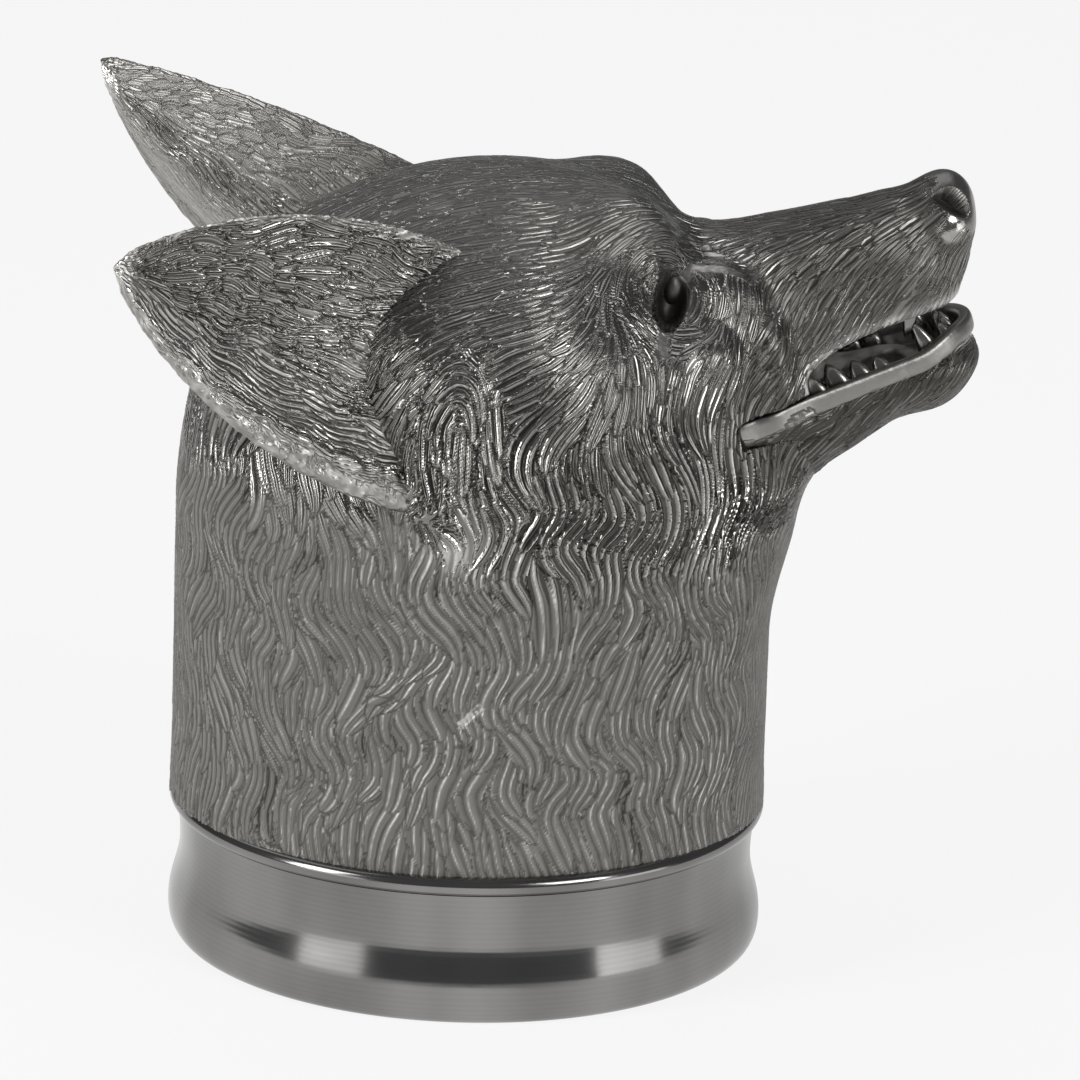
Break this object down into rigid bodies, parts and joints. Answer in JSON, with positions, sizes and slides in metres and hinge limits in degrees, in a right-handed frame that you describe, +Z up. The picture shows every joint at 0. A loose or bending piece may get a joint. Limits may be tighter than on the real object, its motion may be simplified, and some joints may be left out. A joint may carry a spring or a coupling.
{
  "type": "animal head jigger",
  "caption": "Spirit measure in the form of a fox head and furred neck, laid-back ears, open jaws, ogee collar and spun cup opening at the base.",
  "frame": {"origin": "middle of the overall box in plan, on the plane of the drinking edge that the measure stands on", "axes": "+Z up from the drinking edge towards the crown, +X the way the muzzle points, -Y the fox's right side"},
  "size_m": [0.072, 0.055, 0.067],
  "materials": {
    "chased_silver": "silver plate over a cast head, chased fur, satin with burnished ridges",
    "ear_silver": "silver plate, chased fur inside the cup, burnished rims",
    "eye_silver": "darkened silver plate, smooth",
    "polished_silver": "polished silver plate, fine handling scratches",
    "cup_silver": "spun silver plate, faint turning lines"
  },
  "bodies": {
    "root": {"head_casting": "chased_silver", "lower_jaw": "chased_silver", "right_ear": "ear_silver", "left_ear": "ear_silver", "right_eye": "eye_silver", "left_eye": "eye_silver", "collar_bead": "polished_silver", "collar": "polished_silver", "cup_liner": "cup_silver"}
  },
  "joints": []
}
